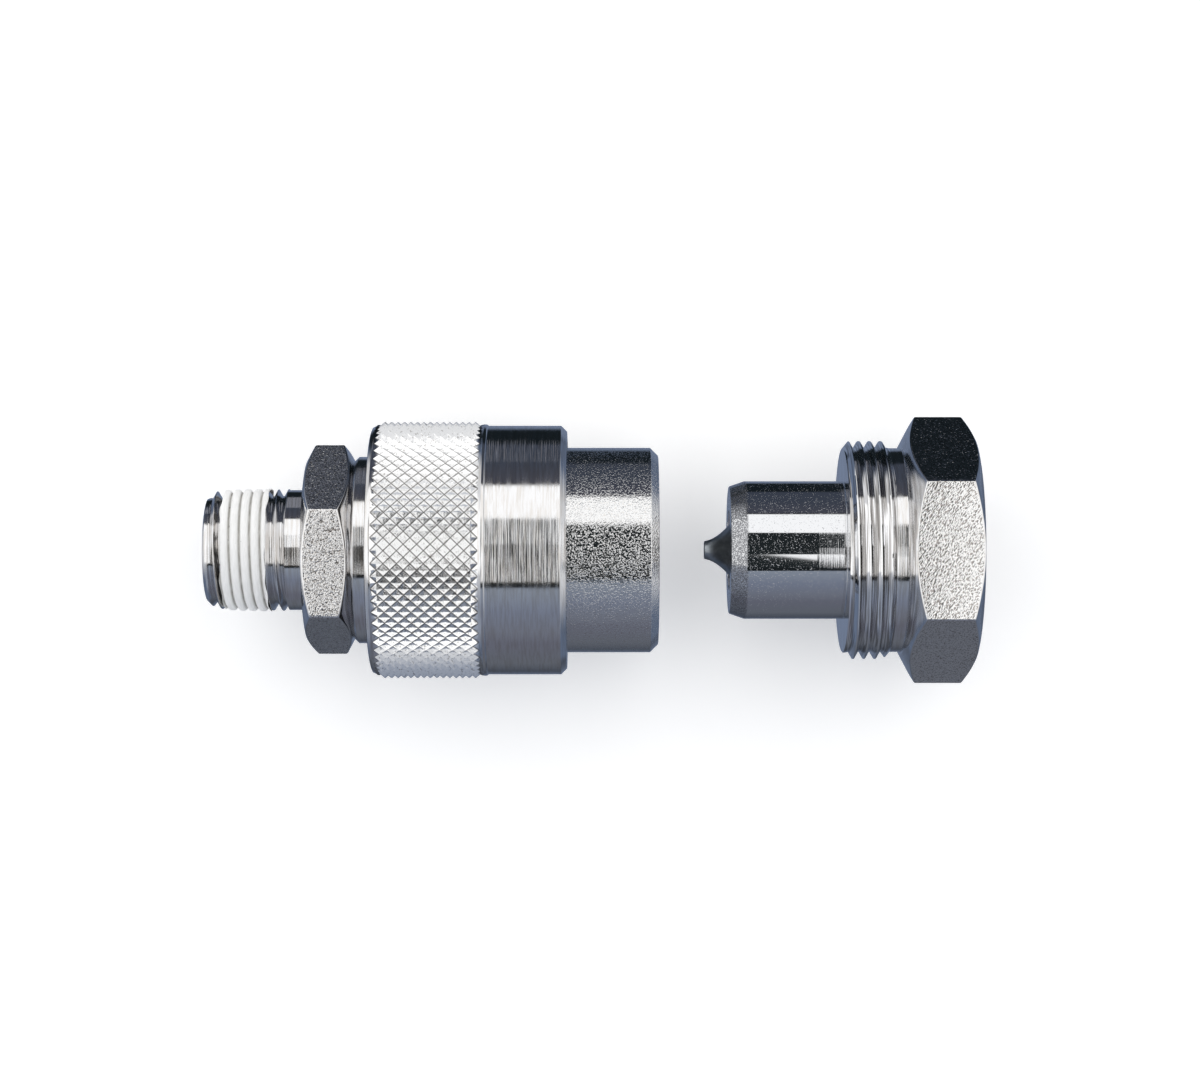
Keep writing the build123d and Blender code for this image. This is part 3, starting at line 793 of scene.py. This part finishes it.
def knurled_collar():
    """Collar with its diamond knurl, plain front stretch, ring groove and inside thread."""
    mesh = bmesh.new()
    columns = 2 * knurl_starts
    row_length = (knurl_front - knurl_rear) / knurl_rows
    mouth_r = collar_thread_depth + collar_crest_r + 0.15

    def shape(x, height):
        return max(collar_crest_r - height, mouth_r - (collar_front - x))

    section = thread_section(collar_thread_depth, ring_pitch, 0.12)
    travel = sum(limits[1] for limits in joint_range.values())
    # Its crests lie between those of the plug's ring when the halves are joined
    crest_at = ring_crest_x - travel / MM + ring_pitch / 2
    thread(mesh, section, ring_pitch, crest_at, collar_thread_x, collar_front, columns, shape)
    inner = tidy_loop(mesh, collar_thread_x, columns)
    tidy_loop(mesh, collar_front, columns, (collar_front, mouth_r))

    def knurl_ring(row):
        def ring(angle):
            column = round(angle / (math.tau / columns))
            point_r = knurl_end_r if row in (0, knurl_rows) else knurl_r
            return knurl_rear + row * row_length, knurl_root_r if (column + row) % 2 else point_r

        return ring

    groove_rear, groove_front, groove_r = ring_groove
    back = eased(
        (collar_thread_x, collar_bore_r),
        (groove_front, collar_bore_r, 0.1),
        (groove_front, groove_r, 0.3),
        (groove_rear, groove_r, 0.3),
        (groove_rear, collar_bore_r, 0.1),
        (collar_rear, collar_bore_r, 0.3),
        (collar_rear, collar_rear_r - 0.5),
        (collar_rear + 0.12, collar_rear_r - 0.18),
        (collar_rear + 0.5, collar_rear_r),
    )
    front = eased(
        (knurl_front + 0.4, collar_r + 0.2),
        (knurl_front + 0.75, collar_r + 0.18, 0.2),
        (knurl_front + 0.9, collar_r),
        (collar_front - collar_chamfer, collar_r, 0.16),
        (collar_front, collar_r - collar_chamfer, 0.16),
        (collar_front, mouth_r),
    )
    knurl = [knurl_ring(row) for row in range(knurl_rows + 1)]
    carry_on(mesh, inner, back + knurl + front)
    bmesh.ops.remove_doubles(mesh, verts=mesh.verts, dist=MERGE * MM)

    def in_knurl(face):
        x, radius = middle(face)
        return radius > knurl_root_r - 0.2 and knurl_rear < x < knurl_front

    points = [face for face in mesh.faces if in_knurl(face)]
    bmesh.ops.triangulate(mesh, faces=points, quad_method="SHORT_EDGE")
    make_piece(
        mesh,
        "knurled_collar",
        "collar",
        "collar",
        [brushed, knurled],
        choose=in_knurl,
        flat=in_knurl,
    )


def plug_body():
    """Nose, threaded ring, relief and hexagon with the port's thread, in one piece."""
    mesh = bmesh.new()

    def ring_shape(x, height):
        return min(ring_crest_r + height, ring_root_r + 1.2 * min(x - ring_x, ring_end_x - x))

    def port_shape(x, height):
        root = port_r + port_depth * min(1, (x - port_x) / (2 * pipe_pitch))
        crest = port_r + (x - port_x) * pipe_taper / 2
        return max(min(crest - height, root), port_mouth_r - (port_face - x))

    ring_section = thread_section(ring_crest_r - ring_root_r, ring_pitch, 0.19)
    thread(mesh, ring_section, ring_pitch, ring_crest_x, ring_x, ring_end_x, COLUMNS, ring_shape)
    port_section = thread_section(port_depth, pipe_pitch, 0.14)
    thread(mesh, port_section, pipe_pitch, port_x, port_x, port_face, COLUMNS, port_shape)
    nose_side = tidy_loop(mesh, ring_x, COLUMNS, (ring_x, ring_root_r))
    hex_side = tidy_loop(mesh, ring_end_x, COLUMNS, (ring_end_x, ring_root_r))
    tidy_loop(mesh, port_x, COLUMNS, (port_x, port_r))
    tidy_loop(mesh, port_face, COLUMNS, (port_face, port_mouth_r))

    groove_near, groove_far, groove_r = circlip_groove
    nose = eased(
        (ring_x, ring_root_r),
        (ring_x, nose_r, 0.15),
        (nose_face + nose_lead, nose_r, 0.4),
        (nose_face, nose_rim_r, 0.15),
        (nose_face, throat_r, 0.2),
        (nose_face + throat_length, throat_r),
        (nose_face + throat_length + chamber_r - throat_r, chamber_r),
        (groove_near, chamber_r),
        (groove_near, groove_r),
        (groove_far, groove_r),
        (groove_far, chamber_r),
        (port_x, chamber_r),
        (port_x, port_r),
    )
    carry_on(mesh, nose_side, nose[1:])
    relief = eased((ring_end_x, ring_root_r), (hex_x, ring_root_r, 0.2), (hex_x, hex_near_r))
    hexagon = hex_rings(hex_flats, 0.0, hex_x, hex_near_r, port_face)
    carry_on(mesh, hex_side, relief[1:-1] + hexagon + [(port_face, port_mouth_r)])
    bmesh.ops.remove_doubles(mesh, verts=mesh.verts, dist=MERGE * MM)
    soften(mesh, hex_x, port_face, hex_near_r - 0.1, 0.18)

    def on_flat(face):
        x, radius = middle(face)
        return hex_x < x < port_face and radius > hex_near_r and abs(face.normal.x) < 0.001

    def finish(face):
        x, radius = middle(face)
        if on_flat(face):
            return 2
        if ring_x < x < ring_end_x and radius > ring_root_r - 0.1:
            return 3
        return 1 if x < ring_x and radius > throat_r + 1 else 0

    make_piece(
        mesh,
        "turned_plug_body",
        "plug",
        "plug_body",
        [turned, mirror, large_flats, threaded],
        choose=finish,
        flat=on_flat,
    )


def poppet(half, face_x, way):
    """Valve with its pin, hollow flare, cone and stem, turned in one piece."""
    tip = -3.42
    tip_r = 1.26
    flare_end = 1.5
    flare_r = 5.35
    seal_near_r = 5.55
    seal_far_r = 6.3
    seal_root_r = 4.75
    head_edge_r = 6.5
    stem_r = 2.0
    stem_end = guide_back + 0.6
    seat_gap = 0.3
    cone_shift = seat_gap * math.sqrt(2) - throat_r + throat_length
    shares = [step / 12 for step in range(1, 13)]
    flare = [
        (tip + (flare_end - tip) * share, tip_r + (flare_r - tip_r) * share**1.72) for share in shares
    ]
    back = eased(
        (flare_end, flare_r),
        (flare_r + cone_shift, flare_r),
        (seal_near_r + cone_shift, seal_near_r),
        (seal_near_r + cone_shift, seal_root_r),
        (seal_far_r + cone_shift, seal_root_r),
        (seal_far_r + cone_shift, seal_far_r),
        (head_edge_r + cone_shift, head_edge_r),
        (poppet_back, head_edge_r, 0.25),
        (poppet_back, stem_r, 0.4),
        (stem_end, stem_r, 0.35),
        (stem_end, 0),
    )
    outline = [(tip, 0), (tip, tip_r - 0.12), (tip + 0.06, tip_r - 0.02)] + flare + back[1:]
    placed = [(face_x + way * depth, radius) for depth, radius in outline]
    make_piece(
        lathe(placed, closed=False, columns=96),
        f"{half}_valve_poppet",
        f"{half}_valve",
        f"{half}_poppet",
        [oxide],
    )


def spring(half, face_x, way):
    """Coil spring with a closed turn at each end."""
    mesh = bmesh.new()
    end_turns = 0.75
    middle_turns = 3
    steps = 40
    low = face_x + way * (poppet_back + spring_wire_r)
    rise = spring_length - 2 * spring_wire_r
    end_pitch = 2 * spring_wire_r
    middle_pitch = (rise - 2 * end_turns * end_pitch) / middle_turns
    ring = bmesh.ops.create_circle(mesh, segments=14, radius=spring_wire_r * MM)["verts"]
    bmesh.ops.translate(mesh, vec=(low * MM, spring_r * MM, 0), verts=ring)
    loop = ring + list({edge for vert in ring for edge in vert.link_edges})
    end = (end_turns, end_pitch)
    for turns, pitch in (end, (middle_turns, middle_pitch), end):
        count = round(turns * steps)
        loop = bmesh.ops.spin(
            mesh,
            geom=loop,
            axis=(1, 0, 0),
            angle=way * math.tau * turns,
            steps=count,
            dvec=(way * pitch * MM / steps, 0, 0),
        )["geom_last"]
    bmesh.ops.holes_fill(mesh, edges=[edge for edge in mesh.edges if edge.is_boundary])
    piece = make_piece(mesh, f"wound_{half}_spring", half, f"{half}_spring", [wire])
    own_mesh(piece)


socket_body()
rear_adapter()
wound_tape()
knurled_collar()
plug_body()
for half, face_x, way in (("socket", valve_shoulder_x, -1), ("plug", nose_face, 1)):
    poppet(half, face_x, way)
    spring(half, face_x, way)

seal_rubber = nitrile()
ring_ptfe = cut_ptfe()
guide_steel = machined_steel()
solid_finishes = {
    "spigot_o_ring": seal_rubber,
    "nose_o_ring": seal_rubber,
    "socket_poppet_seal": seal_rubber,
    "plug_poppet_seal": seal_rubber,
    "spigot_backup_ring": ring_ptfe,
    "nose_backup_ring": ring_ptfe,
    "socket_valve_guide": guide_steel,
    "plug_valve_guide": guide_steel,
    "collar_snap_ring": wire,
    "plug_circlip": wire,
}
for node, solid in frame["nodes"].items():
    solid.data.materials.clear()
    solid.data.materials.append(solid_finishes.get(node, turned))


# Studio


def floor():
    """Plain pale floor that touches the collar."""
    mesh = bmesh.new()
    bmesh.ops.create_grid(mesh, x_segments=1, y_segments=1, size=3.0)
    bmesh.ops.translate(mesh, vec=(0, 0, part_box("collar")[0].z), verts=mesh.verts)
    data = bpy.data.meshes.new("floor")
    mesh.to_mesh(data)
    mesh.free()
    data.materials.append(pale_floor())
    plane = bpy.data.objects.new("floor", data)
    bpy.context.scene.collection.objects.link(plane)
    plane.visible_glossy = False


def sky():
    """A wide soft light overhead with the dark camera and its arm in it, and slate walls in front and
    behind."""
    world = bpy.data.worlds.new("studio")
    bpy.context.scene.world = world
    world.use_nodes = True
    tree = world.node_tree
    tree.nodes.clear()
    way = add(tree, "TexCoord", out="Generated")
    x, y, z = add(tree, "SeparateXYZ", {"Vector": way}).node.outputs
    lean_angle = add(tree, "Math", {0: y, 1: z}, operation="ARCTAN2")
    lean = add(tree, "Math", {0: lean_angle}, operation="DEGREES")
    side_angle = add(tree, "Math", {0: x}, operation="ARCSINE")
    side = add(tree, "Math", {0: side_angle}, operation="DEGREES")

    walls = (
        (-180, "#75829A"),
        (-152, "#4A505C"),
        (-128, "#6A6F79"),
        (-95, "#6F7280"),
        (-81, "#7A7F8D"),
        (-58, "#81899C"),
        (-35, "#959EAC"),
        (-34, "#14171A"),
        (62, "#14171A"),
        (66, "#4F515C"),
        (90, "#444A57"),
        (113, "#444A57"),
        (116, "#1A2126"),
        (147, "#1A2126"),
        (155, "#75829A"),
    )
    share = add(tree, "MapRange", {"Value": lean, "From Min": -180, "From Max": 180})
    ramp = add(tree, "ValToRGB", {"Fac": share})
    stops = ramp.node.color_ramp.elements
    for index, (angle, colour) in enumerate(walls):
        stop = stops[index] if index < 2 else stops.new(1)
        stop.position = (angle + 180) / 360
        stop.color = linear(colour)

    def window(value, low, high, edge):
        """One between two bounds, and none beyond their soft edges."""
        opens = add(tree, "MapRange", {"Value": value, "From Min": low - edge, "From Max": low})
        closes = {"Value": value, "From Min": high + edge, "From Max": high, "To Max": opens}
        return add(tree, "MapRange", closes)

    below = add(tree, "MapRange", {"Value": z, "From Min": -0.1, "From Max": -0.4})
    front = add(tree, "MapRange", {"Value": y, "From Min": -0.2, "From Max": -0.6})
    bright_end = add(tree, "Mix", {0: front, 6: "#F2F3F5", 7: "#9AA2B2"}, out=2, data_type="RGBA")
    end_wall = add(tree, "Mix", {0: below, 6: bright_end, 7: "#66738A"}, out=2, data_type="RGBA")
    off_middle = add(tree, "Math", {0: x}, operation="ABSOLUTE")
    at_end = add(tree, "MapRange", {"Value": off_middle, "From Min": 0.4, "From Max": 0.5})
    around = add(tree, "Mix", {0: at_end, 6: ramp, 7: end_wall}, out=2, data_type="RGBA")
    light = [window(lean, -28.5, 61.5, 1.5), window(side, -80, 80, 8)]
    in_light = add(tree, "Math", {0: light[0], 1: light[1]}, operation="MULTIPLY")
    colour = add(tree, "Mix", {0: in_light, 6: around, 7: "#FFFFFF"}, out=2, data_type="RGBA")

    under_arm = add(tree, "Math", {0: lean, 1: 8}, operation="ADD")
    lowered = add(tree, "Math", {0: under_arm, 1: 0}, operation="MINIMUM")
    slanted_side = add(tree, "Math", {0: lowered, 1: 0.1, 2: side}, operation="MULTIPLY_ADD")
    black = "#1F2426"
    for across, side_low, side_high, lean_low, lean_high, shade in (
        (slanted_side, -5, 3.2, -34, 28.5, black),  # the arm
        (side, 2, 4.8, -6.5, 28.5, black),  # the camera
        (side, 4.6, 6.0, 4, 26, black),  # the camera's corner
        (side, -9, -5, -30, 5, "#55524F"),  # a grey stretch beside the arm
        (side, -10, -5.3, 90, 122, "#8C8F99"),  # a paler stretch of the wall behind
    ):
        inside = [window(across, side_low, side_high, 0.3), window(lean, lean_low, lean_high, 1)]
        patch = add(tree, "Math", {0: inside[0], 1: inside[1]}, operation="MULTIPLY")
        colour = add(tree, "Mix", {0: patch, 6: colour, 7: shade}, out=2, data_type="RGBA")
    strength = add(tree, "MapRange", {"Value": in_light, "To Min": 1, "To Max": 1.35})
    background = add(tree, "Background", {"Color": colour, "Strength": strength})
    add(tree, "OutputWorld", {"Surface": background})


def camera():
    """Camera straight above, as the photograph was taken."""
    data = bpy.data.cameras.new("camera")
    data.sensor_width = 36.0
    data.lens = 86.64
    data.clip_end = 20.0
    image_middle = (1.385, 2.08)
    height = 400
    view = bpy.data.objects.new("camera", data)
    view.location = Vector((*image_middle, height)) * MM
    bpy.context.scene.collection.objects.link(view)
    bpy.context.scene.camera = view


floor()
sky()
camera()
bpy.context.scene.view_settings.view_transform = "Standard"
